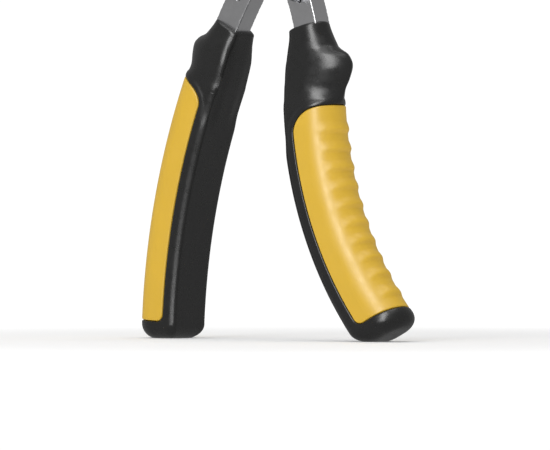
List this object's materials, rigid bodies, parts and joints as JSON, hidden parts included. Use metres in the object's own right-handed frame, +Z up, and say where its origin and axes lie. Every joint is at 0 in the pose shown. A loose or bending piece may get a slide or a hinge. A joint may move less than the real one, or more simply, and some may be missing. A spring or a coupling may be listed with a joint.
{
  "type": "snap setter pliers",
  "caption": "Hand pliers with two curved black-and-yellow grips and a cross pivot, whose jaws carry a cupped anvil die and a screw-adjusted setting die for pressing snaps.",
  "frame": {"origin": "middle of the bounding box on the floor that the pliers stand on", "axes": "+Z up along the pliers from the grips' feet to the jaws, +X from the palm grip to the finger grip, +Y from front to back along the pivot bolt"},
  "size_m": [0.1392, 0.022, 0.2225],
  "materials": {
    "forged_steel": "satin nickel-plated forged steel",
    "bright_steel": "polished plated steel",
    "black_steel": "black-oxide steel",
    "spring_steel": "drawn spring wire",
    "bronze": "plain bearing bronze",
    "grip_plastic": "black moulded plastic with a soft sheen",
    "grip_soft": "soft yellow thermoplastic elastomer, fine matte",
    "knob_plastic": "black moulded plastic, fluted",
    "ring_rubber": "black rubber"
  },
  "bodies": {
    "finger_half": {"finger_lever": "forged_steel", "finger_grip": "grip_plastic", "finger_grip_insert": "grip_soft", "pivot_bolt": "bright_steel", "pivot_nut": "bright_steel", "pivot_washer_front": "bronze", "pivot_washer_back": "bronze", "pivot_bush": "bronze", "lap_washer": "bronze", "return_spring": "spring_steel", "anvil_stud": "black_steel", "anvil_stud_nut": "bright_steel", "anvil_die": "bright_steel", "anvil_set_screw": "black_steel", "anvil_ring": "ring_rubber"},
    "palm_half": {"palm_lever": "forged_steel", "palm_grip": "grip_plastic", "palm_grip_insert": "grip_soft"},
    "die_holder": {"setting_die": "bright_steel", "setting_die_set_screw": "black_steel"},
    "adjuster": {"adjuster_screw": "black_steel", "adjuster_knob": "knob_plastic", "adjuster_knob_pin": "bright_steel"},
    "lock_nut": {"adjuster_lock_nut": "bright_steel"}
  },
  "joints": [
    {"name": "main_pivot", "type": "hinge", "parent": "finger_half", "child": "palm_half", "pos_m": [0.00142, 0, 0.166], "axis": [0, -1, 0], "range_deg": [0, 24], "stiffness_Nm_per_rad": 0.25, "springref_deg": -40.11, "deforming": ["return_spring"]},
    {"name": "die_slide", "type": "slide", "parent": "palm_half", "child": "die_holder", "axis": [0.9781, 0, -0.2079], "range_m": [-0.00124, 0.00124]},
    {"name": "adjuster_turn", "type": "hinge", "parent": "die_holder", "child": "adjuster", "pos_m": [0.0116, 0, 0.21393], "axis": [0.9781, 0, -0.2079], "range_deg": [-300, 300]},
    {"name": "lock_nut_turn", "type": "hinge", "parent": "palm_half", "child": "lock_nut", "pos_m": [0.0116, 0, 0.21393], "axis": [0.9781, 0, -0.2079], "range_deg": [-30, 30]}
  ],
  "couplings": [
    {"joint": "adjuster_turn", "follows": "die_slide", "rad_per_m": 4188.8}
  ]
}
